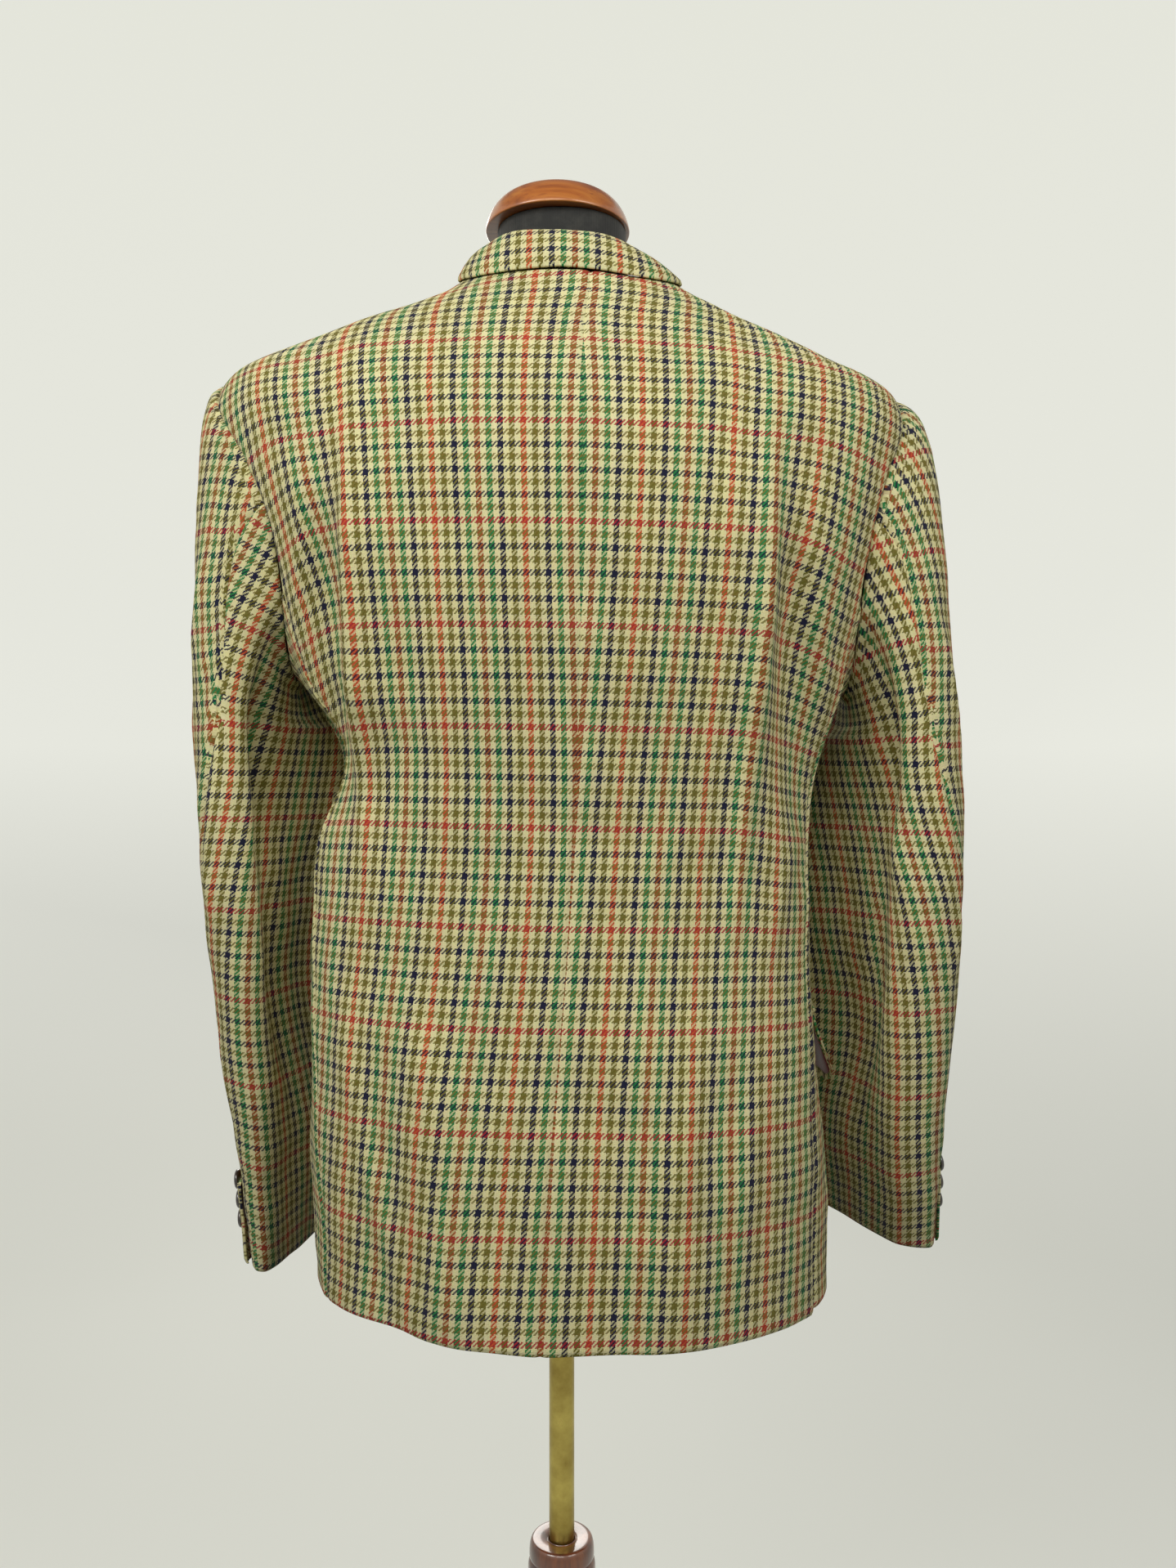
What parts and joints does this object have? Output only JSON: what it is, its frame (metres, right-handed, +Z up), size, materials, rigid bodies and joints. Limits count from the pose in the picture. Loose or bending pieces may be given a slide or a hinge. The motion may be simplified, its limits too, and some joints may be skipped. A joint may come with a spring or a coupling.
{
  "type": "tweed hacking jacket on a limbless dress form with a tripod stand",
  "caption": "Single-breasted checked tweed hacking jacket worn by a smooth limbless dress form with a turned neck cap, on a pole and a wooden tripod.",
  "frame": {"origin": "on the floor, under the middle of the whole object's footprint", "axes": "+Z up; the wearer faces -Y, so the wearer's left is +X and the jacket's back faces +Y"},
  "size_m": [0.5582, 0.438, 1.412],
  "materials": {
    "tweed": "hairy woollen twill in a gun club check",
    "button_horn": "polished dark horn-like",
    "form_jersey": "plain black knitted cover",
    "cap_beech": "glossy honey-brown varnish",
    "pole_brass": "aged, satin",
    "stand_beech": "dark reddish-brown varnish"
  },
  "bodies": {
    "root": {"back_left": "tweed", "back_right": "tweed", "side_left": "tweed", "side_right": "tweed", "front_left": "tweed", "front_right": "tweed", "lapel_left": "tweed", "lapel_right": "tweed", "topsleeve_left": "tweed", "topsleeve_right": "tweed", "undersleeve_left": "tweed", "undersleeve_right": "tweed", "pocket_flap_left": "tweed", "pocket_flap_right": "tweed", "collar": "tweed", "collar_stand": "tweed", "front_button_1": "button_horn", "front_button_2": "button_horn", "front_button_3": "button_horn", "cuff_button_left_1": "button_horn", "cuff_button_left_2": "button_horn", "cuff_button_left_3": "button_horn", "cuff_button_right_1": "button_horn", "cuff_button_right_2": "button_horn", "cuff_button_right_3": "button_horn", "form": "form_jersey", "neck_cap": "cap_beech", "pole": "pole_brass", "hub": "stand_beech", "leg_1": "stand_beech", "leg_2": "stand_beech", "leg_3": "stand_beech"}
  },
  "joints": []
}
